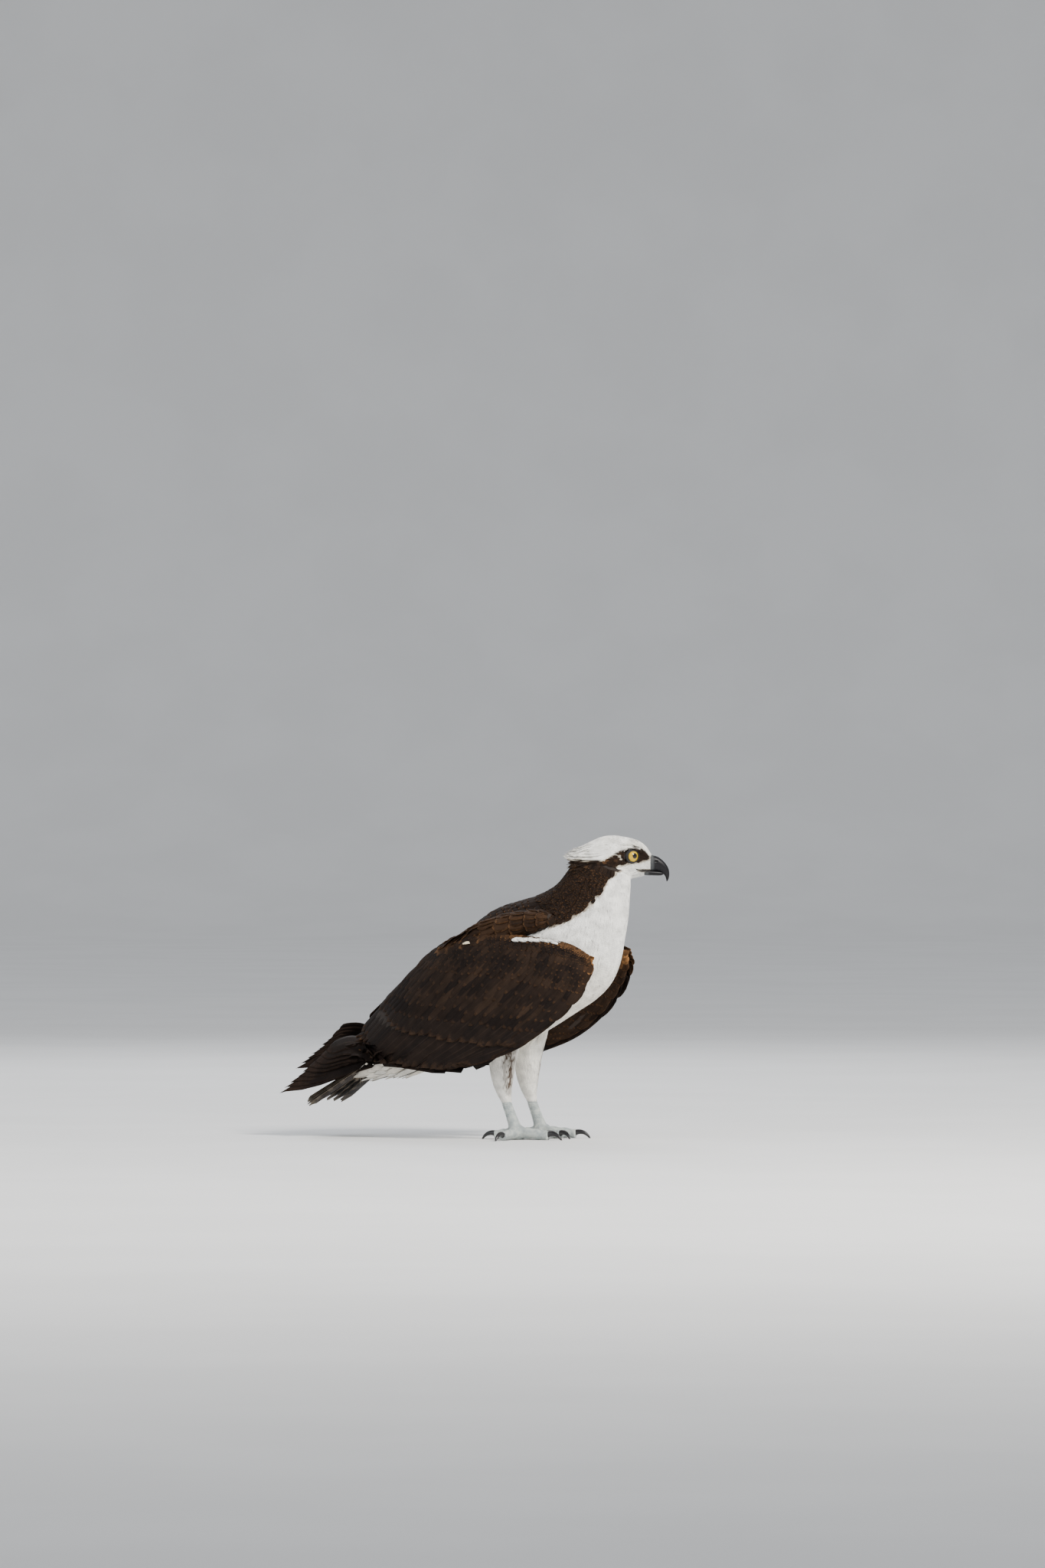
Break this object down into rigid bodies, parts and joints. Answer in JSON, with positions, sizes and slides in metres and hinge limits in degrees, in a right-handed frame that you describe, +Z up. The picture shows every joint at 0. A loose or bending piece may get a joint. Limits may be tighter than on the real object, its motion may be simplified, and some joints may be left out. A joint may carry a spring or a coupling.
{
  "type": "osprey",
  "caption": "Life-size still osprey standing on both feet, wings folded and drooped a little, head turned to its left.",
  "frame": {"origin": "on the ground, under the middle of the standing bird's box", "axes": "+X the way the body faces, +Y the bird's left, +Z up"},
  "size_m": [0.4975, 0.202, 0.377],
  "materials": {
    "pale_plumage": "soft matte feathers",
    "dark_plumage": "satin feathers",
    "horn": "satin horn",
    "leg_skin": "rough scaled skin",
    "iris": "wet gloss"
  },
  "bodies": {
    "root": {"head": "pale_plumage", "neck": "pale_plumage", "torso": "pale_plumage", "thigh_right": "pale_plumage", "thigh_left": "pale_plumage", "tail": "dark_plumage", "wing_right": "dark_plumage", "wing_left": "dark_plumage", "bill_upper": "horn", "bill_lower": "horn", "claw_right_1": "horn", "claw_right_2": "horn", "claw_right_3": "horn", "claw_right_4": "horn", "claw_left_1": "horn", "claw_left_2": "horn", "claw_left_3": "horn", "claw_left_4": "horn", "shank_right": "leg_skin", "shank_left": "leg_skin", "foot_right": "leg_skin", "foot_left": "leg_skin", "eye_right": "iris", "eye_left": "iris"}
  },
  "joints": []
}
